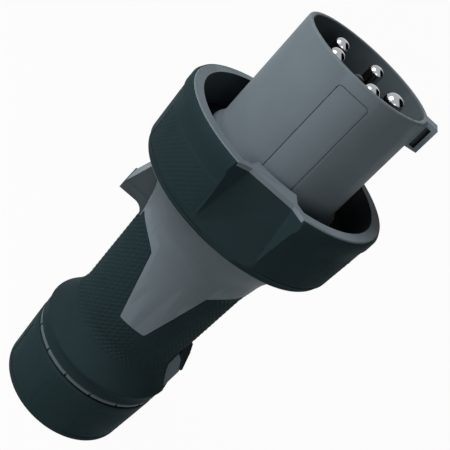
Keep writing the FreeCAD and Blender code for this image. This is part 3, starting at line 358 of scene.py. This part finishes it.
def pad_skins(name, node, low, high, pitch, rise, body, finish):
    """Four knurled skins in the shallow pads of a turned piece."""
    line = skin_line(node, PAD_STARTS[0] + PAD_SPAN / 2, low + PAD_MARGIN, high - PAD_MARGIN, pitch)
    radius = (line[0][0] + line[-1][0]) / 2
    inset = math.degrees(PAD_MARGIN / radius)
    steps = round(math.radians(PAD_SPAN) * radius / pitch)
    for number, start in enumerate(PAD_STARTS, 1):
        skin = swept(f"{name}_{number}", line, steps, start + inset, PAD_SPAN - 2 * inset)
        knurled(skin, rise, PAD_BACKING)
        seated(skin, body, finish)


# Finishes

def add_node(tree, kind, values=(), links=(), **settings):
    """Add a shader node with its settings, its input values and its links from other nodes."""
    made = tree.nodes.new(kind)
    for name, value in settings.items():
        setattr(made, name, value)
    for socket, value in dict(values).items():
        made.inputs[socket].default_value = value
    for socket, (source, output) in dict(links).items():
        tree.links.new(source.outputs[output], made.inputs[socket])
    return made


def empty_material(name):
    """New material and its node tree, with no nodes yet."""
    made = bpy.data.materials.new(name)
    made.use_nodes = True
    made.node_tree.nodes.clear()
    return made, made.node_tree


def background_rays(tree):
    """Node that gives 1 to the rays that show the white background, which are no light on the plug."""
    eye = add_node(tree, "ShaderNodeLightPath")
    seen = add_node(tree, "ShaderNodeMath", {}, {0: (eye, "Is Camera Ray"), 1: (eye, "Is Glossy Ray")},
                    operation="MAXIMUM")
    return add_node(tree, "ShaderNodeMath", {}, {0: (seen, "Value"), 1: (eye, "Is Transmission Ray")},
                    operation="MAXIMUM")


def rgba(value, shade=1.0):
    """Colour with its alpha, made paler or darker by shade."""
    return (value[0] * shade, value[1] * shade, value[2] * shade, 1.0)


def moulded(name, base, rough, level, grain_mm, grain_depth_mm, spread=0.07, inner=1.0):
    """Moulded plastic or elastomer: cloudy flow marks in its colour, and a fine eroded grain.

    Faces marked for painted shade show only the inner share of the pigment.
    """
    made, tree = empty_material(name)
    place = add_node(tree, "ShaderNodeTexCoord")
    # flow marks vary the pigment a little
    flow = add_node(tree, "ShaderNodeTexNoise", {"Scale": 1 / FLOW_SIZE, "Detail": 3.0, "Roughness": 0.55},
                    {"Vector": (place, "Object")})
    tint = add_node(tree, "ShaderNodeValToRGB", {}, {"Fac": (flow, "Fac")})
    tint.color_ramp.elements[0].position = 0.3
    tint.color_ramp.elements[0].color = rgba(base, 1 - spread)
    tint.color_ramp.elements[1].position = 0.72
    tint.color_ramp.elements[1].color = rgba(base, 1 + spread)
    # eroded grain of the mould, which scatters the gloss
    grain = add_node(tree, "ShaderNodeTexNoise",
                     {"Scale": 1 / (grain_mm * MM), "Detail": 4.0, "Roughness": 0.6},
                     {"Vector": (place, "Object")})
    smear = add_node(tree, "ShaderNodeTexNoise", {"Scale": 1 / SMEAR_SIZE, "Detail": 2.0},
                     {"Vector": (place, "Object")})
    gloss = add_node(tree, "ShaderNodeMapRange",
                     {"From Min": 0.3, "From Max": 0.7, "To Min": rough - 0.05, "To Max": rough + 0.07},
                     {"Value": (smear, "Fac")})
    relief = add_node(tree, "ShaderNodeBump", {"Strength": 0.55, "Distance": grain_depth_mm * MM},
                      {"Height": (grain, "Fac")})
    # convex edges rub paler
    rub = add_node(tree, "ShaderNodeNewGeometry")
    edges = add_node(tree, "ShaderNodeMapRange",
                     {"From Min": 0.53, "From Max": 0.62, "To Min": 0.0, "To Max": 0.35},
                     {"Value": (rub, "Pointiness")})
    worn = add_node(tree, "ShaderNodeMix", {"B": rgba(base, 1.5)},
                    {"Factor": (edges, "Result"), "A": (tint, "Color")}, data_type="RGBA")
    # painted shade: inner walls and the other marked faces are darkened to the inner share of the pigment,
    # for shade that the lamps don't give
    walls = add_node(tree, "ShaderNodeAttribute", attribute_name="painted_shade_mark")
    painted_shade_scale = add_node(tree, "ShaderNodeMapRange", {"To Min": 1.0, "To Max": inner},
                     {"Value": (walls, "Fac")})
    skin = add_node(tree, "ShaderNodeVectorMath", {},
                    {"Vector": (worn, "Result"), "Scale": (painted_shade_scale, "Result")}, operation="SCALE")
    shader = add_node(tree, "ShaderNodeBsdfPrincipled", {"Specular IOR Level": level},
                      {"Base Color": (skin, "Vector"), "Roughness": (gloss, "Result"),
                       "Normal": (relief, "Normal")})
    add_node(tree, "ShaderNodeOutputMaterial", {}, {"Surface": (shader, "BSDF")})
    return made


def plated(name, base, rough, ring_mm):
    """Turned and plated metal: fine rings round the axis from the lathe, softened by the plating."""
    made, tree = empty_material(name)
    place = add_node(tree, "ShaderNodeTexCoord")
    # a wave turns through 20 radians for each scaled unit, so a ring is 2 pi times ring_mm wide
    rings = add_node(tree, "ShaderNodeTexWave",
                     {"Scale": 1 / (ring_mm * MM) / 20, "Distortion": 0.6, "Detail": 2.0},
                     {"Vector": (place, "Object")}, wave_type="BANDS", bands_direction="Z")
    relief = add_node(tree, "ShaderNodeBump", {"Strength": 0.15, "Distance": RING_DEPTH},
                      {"Height": (rings, "Fac")})
    haze = add_node(tree, "ShaderNodeTexNoise", {"Scale": 1 / HAZE_SIZE, "Detail": 3.0},
                    {"Vector": (place, "Object")})
    gloss = add_node(tree, "ShaderNodeMapRange", {"To Min": rough - 0.04, "To Max": rough + 0.08},
                     {"Value": (haze, "Fac")})
    tint = add_node(tree, "ShaderNodeMix", {"A": rgba(base, 0.9), "B": rgba(base)}, {"Factor": (haze, "Fac")},
                    data_type="RGBA")
    shader = add_node(tree, "ShaderNodeBsdfPrincipled", {"Metallic": 1.0},
                      {"Base Color": (tint, "Result"), "Roughness": (gloss, "Result"),
                       "Normal": (relief, "Normal")})
    add_node(tree, "ShaderNodeOutputMaterial", {}, {"Surface": (shader, "BSDF")})
    return made


FINISHES = {}


def make_finishes():
    """Make every finish once, under the name that the pieces use."""
    pigment = colours()
    # glass-filled polyamide, eroded mould: matt with a soft broad gloss
    # faces marked for painted shade keep only 0.4 of this grey
    FINISHES["grey"] = moulded("Grey glass-filled nylon", pigment.grey, 0.5, 0.04, 0.5, 0.02, inner=0.4)
    # the same nylon in a darker grey for the notched ring
    FINISHES["notch_grey"] = moulded("Darker grey nylon", pigment.notch_grey, 0.45, 0.04, 0.5, 0.02)
    # thermoplastic elastomer moulded over the nylon: darker, drier gloss
    FINISHES["black"] = moulded("Black moulded elastomer", pigment.black, 0.6, 0.012, 0.6, 0.03)
    # plain black polyamide of the nut: slightly glossier than the elastomer
    FINISHES["nut"] = moulded("Black nylon", pigment.nut, 0.55, 0.012, 0.5, 0.02)
    # thermoset insulator: smooth and dark
    FINISHES["insulator"] = moulded("Dark insulating thermoset", pigment.insulator, 0.5, 0.02, 0.4, 0.008)
    # sealing rubber: dull, nearly black
    FINISHES["gasket"] = moulded("Sealing rubber", pigment.gasket, 0.65, 0.012, 0.4, 0.01)
    # turned brass with bright nickel: mirror-like tips
    FINISHES["nickel"] = plated("Nickel-plated turned brass", pigment.nickel, 0.12, 0.25)
    # brass of the pilot pin, coloured brown-black: painted shade for the shade it stands in deep in the
    # shroud
    FINISHES["dark"] = plated("Brass with painted shade", pigment.dark, 0.3, 0.25)
    # zinc-plated steel of small hardware: duller
    FINISHES["zinc"] = plated("Zinc-plated steel", pigment.zinc, 0.34, 0.3)


# Pieces

class PLUG_OT_housing(bpy.types.Operator):
    """Front housing with its shroud and key, and the insulating block in it"""
    bl_idname = "plug.housing"
    bl_label = "Front housing"

    def execute(self, context):
        # painted shade on the shroud's inner walls and on the walls of the key's slots
        mark_painted_shade(dressed("front_housing", "plug_body", FINISHES["grey"], sizes().edge),
                    in_key_slot)
        dressed("contact_carrier", "plug_body", FINISHES["insulator"], sizes().edge)
        dressed("carrier_back_plate", "plug_body", FINISHES["insulator"], sizes().edge)
        return {"FINISHED"}


class PLUG_OT_contacts(bpy.types.Operator):
    """Five main pins and the pilot pin, with their clamping screws"""
    bl_idname = "plug.contacts"
    bl_label = "Contacts"

    def execute(self, context):
        for node in ("pin_earth", "pin_line_1", "pin_line_2", "pin_line_3", "pin_neutral"):
            dressed(node, "plug_body", FINISHES["nickel"])
        # painted shade: the pilot pin is coloured brown-black for the shade it stands in
        dressed("pin_pilot", "plug_body", FINISHES["dark"])
        for node in ("terminal_screws", "carrier_screws"):
            dressed(node, "plug_body", FINISHES["zinc"])
        return {"FINISHED"}


class PLUG_OT_seals(bpy.types.Operator):
    """Flat gasket, housing seal and cable bush"""
    bl_idname = "plug.seals"
    bl_label = "Seals"

    def execute(self, context):
        for node in ("face_gasket", "housing_seal", "sealing_insert"):
            dressed(node, "plug_body", FINISHES["gasket"])
        return {"FINISHED"}


class PLUG_OT_ring(bpy.types.Operator):
    """Hard bayonet ring with its soft sleeve and four knurled pads"""
    bl_idname = "plug.ring"
    bl_label = "Bayonet ring"

    def execute(self, context):
        # painted shade on the ring's inner walls
        mark_painted_shade(dressed("bayonet_ring", "locking_ring", FINISHES["grey"], sizes().edge))
        measure = sizes()
        pad_skins("ring_pad", "ring_grip", measure.pad_low, measure.pad_high, measure.pad_pitch,
                  measure.pad_rise, "locking_ring", FINISHES["black"])
        dressed("ring_grip", "locking_ring", FINISHES["black"], sizes().edge)
        return {"FINISHED"}


class PLUG_OT_shell(bpy.types.Operator):
    """Hard handle shell with its tongues and the lid lug"""
    bl_idname = "plug.shell"
    bl_label = "Handle shell"

    def execute(self, context):
        # painted shade on the shell's inner walls and on the lid lug's flanks and lip
        mark_painted_shade(dressed("handle_shell", "plug_body", FINISHES["grey"], sizes().edge),
                    on_lug)
        return {"FINISHED"}


class PLUG_OT_grip(bpy.types.Operator):
    """Soft grip of the handle with its knurled skin"""
    bl_idname = "plug.grip"
    bl_label = "Handle grip"

    def execute(self, context):
        measure = sizes()
        line = skin_line("handle_grip", GRIP_LINE, measure.handle_low + PAD_MARGIN,
                         measure.handle_high - PAD_MARGIN, measure.handle_pitch)
        steps = round(FULL_TURN * GRIP_RADIUS / measure.handle_pitch)
        skin = swept("handle_knurl", line, steps, 0, 360)
        knurled(skin, measure.handle_rise, GRIP_BACKING)

        # the knurl stays inside the soft grip's outline, clear of the tongues, the lug and the latch
        zone = copied("handle_grip", "grip_zone")
        bpy.ops.object.transform_apply(location=True, rotation=True, scale=True)
        bpy.ops.transform.resize(value=(GRIP_SWELL, GRIP_SWELL, 1), center_override=AXIS)
        bpy.ops.object.transform_apply(location=True, rotation=True, scale=True)
        applied(skin, "BOOLEAN", operation="INTERSECT", object=zone, solver="EXACT")
        bpy.data.objects.remove(zone)
        bpy.ops.object.select_all(action="DESELECT")
        bpy.ops.mesh.primitive_cube_add(size=1, location=LATCH_PLACE, scale=LATCH_ROOM)
        room = bpy.context.active_object
        applied(skin, "BOOLEAN", operation="DIFFERENCE", object=room, solver="EXACT")
        bpy.data.objects.remove(room)
        pick(skin)
        bpy.ops.object.mode_set(mode="EDIT")
        bpy.ops.mesh.select_all(action="SELECT")
        bpy.ops.mesh.remove_doubles(threshold=WELD)
        bpy.ops.mesh.dissolve_degenerate(threshold=WELD)
        bpy.ops.object.mode_set(mode="OBJECT")
        seated(skin, "plug_body", FINISHES["black"])
        dressed("handle_grip", "plug_body", FINISHES["black"])
        return {"FINISHED"}


class PLUG_OT_latch(bpy.types.Operator):
    """Latch lever with its ribbed pad, pin and leaf spring"""
    bl_idname = "plug.latch"
    bl_label = "Gland latch"

    def execute(self, context):
        dressed("latch_lever", "lock_lever", FINISHES["grey"], sizes().edge)
        dressed("latch_pad", "lock_lever", FINISHES["black"])
        dressed("latch_pin", "plug_body", FINISHES["zinc"])
        dressed("latch_spring", "plug_body", FINISHES["zinc"])
        return {"FINISHED"}


class PLUG_OT_gland(bpy.types.Operator):
    """Gland nut with its four pads, the ratchet ring, and the parts that clamp the cable"""
    bl_idname = "plug.gland"
    bl_label = "Cable gland"

    def execute(self, context):
        measure = sizes()
        pad_skins("nut_pad", "gland_nut", measure.nut_low, measure.nut_high, measure.nut_pitch,
                  measure.nut_rise, "gland", FINISHES["nut"])
        dressed("gland_nut", "gland", FINISHES["nut"], sizes().edge)
        dressed("ratchet_ring", "gland", FINISHES["notch_grey"])
        dressed("thrust_ring", "gland_follower", FINISHES["nut"])
        dressed("clamp_cage", "plug_body", FINISHES["nut"])
        return {"FINISHED"}


class PLUG_OT_stage(bpy.types.Operator):
    """Pale floor, soft lamps, white surroundings and the camera"""
    bl_idname = "plug.stage"
    bl_label = "Studio stage"

    def execute(self, context):
        self.floor()
        self.surroundings()
        self.lamp("key_lamp", *KEY_LAMP)
        self.lamp("fill_lamp", *FILL_LAMP)
        self.dark_card(*DARK_CARD)
        self.camera()
        return {"FINISHED"}

    def floor(self):
        """Round floor that looks white, yet takes the plug's shadow."""
        bpy.ops.object.select_all(action="DESELECT")
        bpy.ops.mesh.primitive_circle_add(vertices=64, radius=sizes().floor_width / 2, fill_type="NGON",
                                          location=(0, 0, -FLOOR_DROP))
        floor = bpy.context.active_object
        floor.name = "studio_floor"
        made, tree = empty_material("White studio board")
        seen = background_rays(tree)
        share = add_node(tree, "ShaderNodeMath", {1: FLOOR_GLOW}, {0: (seen, "Value")}, operation="MULTIPLY")
        place = add_node(tree, "ShaderNodeTexCoord")
        mottle = add_node(tree, "ShaderNodeTexNoise", {"Scale": 1 / BOARD_MOTTLE},
                          {"Vector": (place, "Object")})
        tint = add_node(tree, "ShaderNodeMix", {"A": rgba(colours().floor, 0.98), "B": rgba(colours().floor)},
                        {"Factor": (mottle, "Fac")}, data_type="RGBA")
        board = add_node(tree, "ShaderNodeBsdfPrincipled", {"Roughness": 0.9, "Specular IOR Level": 0.1},
                         {"Base Color": (tint, "Result")})
        glow = add_node(tree, "ShaderNodeEmission", {"Color": (1, 1, 1, 1), "Strength": 1.0})
        mix = add_node(tree, "ShaderNodeMixShader", {},
                       {0: (share, "Value"), 1: (board, "BSDF"), 2: (glow, "Emission")})
        add_node(tree, "ShaderNodeOutputMaterial", {}, {"Surface": (mix, "Shader")})
        floor.data.materials.append(made)

    def surroundings(self):
        """White room that reflections and the camera see, and that gives little light."""
        world = bpy.data.worlds.new("Soft white room")
        bpy.context.scene.world = world
        world.use_nodes = True
        tree = world.node_tree
        tree.nodes.clear()
        seen = background_rays(tree)
        level = add_node(tree, "ShaderNodeMapRange", {"To Min": ROOM_LIGHT, "To Max": 1.0},
                         {"Value": (seen, "Value")})
        glow = add_node(tree, "ShaderNodeBackground", {"Color": (1, 1, 1, 1)},
                        {"Strength": (level, "Result")})
        add_node(tree, "ShaderNodeOutputWorld", {}, {"Surface": (glow, "Background")})

    def lamp(self, name, direction, distance, width, power):
        """Round soft lamp that looks at the middle of the plug."""
        bpy.ops.object.light_add(type="AREA", location=STAGE_MIDDLE + direction.normalized() * distance)
        lamp = bpy.context.active_object
        lamp.name = name
        lamp.data.shape = "DISK"
        lamp.data.size = width
        lamp.data.energy = power
        lamp.rotation_euler = direction.to_track_quat("Z", "Y").to_euler()

    def dark_card(self, direction, distance, width):
        """Black felt card that only reflections see: it gives bright metal its dark bands."""
        bpy.ops.object.select_all(action="DESELECT")
        bpy.ops.mesh.primitive_circle_add(vertices=48, radius=width / 2, fill_type="NGON",
                                          location=STAGE_MIDDLE + direction.normalized() * distance,
                                          rotation=direction.to_track_quat("Z", "Y").to_euler())
        card = bpy.context.active_object
        card.name = "dark_card"
        made, tree = empty_material("Black felt")
        place = add_node(tree, "ShaderNodeTexCoord")
        nap = add_node(tree, "ShaderNodeTexNoise", {"Scale": 1 / FELT_NAP}, {"Vector": (place, "Object")})
        tint = add_node(tree, "ShaderNodeMix", {"A": rgba(linear("#0A0A0A")), "B": rgba(linear("#121212"))},
                        {"Factor": (nap, "Fac")}, data_type="RGBA")
        felt = add_node(tree, "ShaderNodeBsdfDiffuse", {}, {"Color": (tint, "Result")})
        add_node(tree, "ShaderNodeOutputMaterial", {}, {"Surface": (felt, "BSDF")})
        card.data.materials.append(made)
        card.visible_camera = False
        card.visible_diffuse = False
        card.visible_transmission = False
        card.visible_shadow = False

    def camera(self):
        """Camera at the photo's place and angle."""
        bpy.ops.object.camera_add(location=CAMERA_PLACE)
        camera = bpy.context.active_object
        camera.name = "photo_camera"
        camera.rotation_euler = Matrix((CAMERA_RIGHT, CAMERA_UP, CAMERA_BACK)).transposed().to_euler()
        camera.data.sensor_width = CAMERA_SENSOR
        camera.data.lens = CAMERA_LENS
        camera.data.clip_start = CAMERA_NEAR
        bpy.context.scene.camera = camera


PIECES = (PLUG_OT_housing, PLUG_OT_contacts, PLUG_OT_seals, PLUG_OT_ring, PLUG_OT_shell, PLUG_OT_grip,
          PLUG_OT_latch, PLUG_OT_gland, PLUG_OT_stage)


class PLUG_PT_sidebar(bpy.types.Panel):
    """Sizes, colours and pieces of the plug"""
    bl_idname = "PLUG_PT_sidebar"
    bl_label = "Industrial plug"
    bl_space_type = "VIEW_3D"
    bl_region_type = "UI"
    bl_category = "Plug"

    def draw(self, context):
        for group in (context.scene.plug_sizes, context.scene.plug_colours):
            for name in group.__annotations__:
                self.layout.prop(group, name)
        for piece in PIECES:
            self.layout.operator(piece.bl_idname)


CLASSES = (PlugSizes, PlugColours) + PIECES + (PLUG_PT_sidebar,)


def register():
    for kind in CLASSES:
        bpy.utils.register_class(kind)
    bpy.types.Scene.plug_sizes = bpy.props.PointerProperty(type=PlugSizes)
    bpy.types.Scene.plug_colours = bpy.props.PointerProperty(type=PlugColours)


def unregister():
    del bpy.types.Scene.plug_sizes
    del bpy.types.Scene.plug_colours
    for kind in reversed(CLASSES):
        bpy.utils.unregister_class(kind)


def main():
    register()
    make_finishes()
    bpy.ops.plug.housing()
    bpy.ops.plug.contacts()
    bpy.ops.plug.seals()
    bpy.ops.plug.ring()
    bpy.ops.plug.shell()
    bpy.ops.plug.grip()
    bpy.ops.plug.latch()
    bpy.ops.plug.gland()
    bpy.ops.plug.stage()
    bpy.context.scene.view_settings.view_transform = "Standard"


if __name__ == "__main__":
    main()
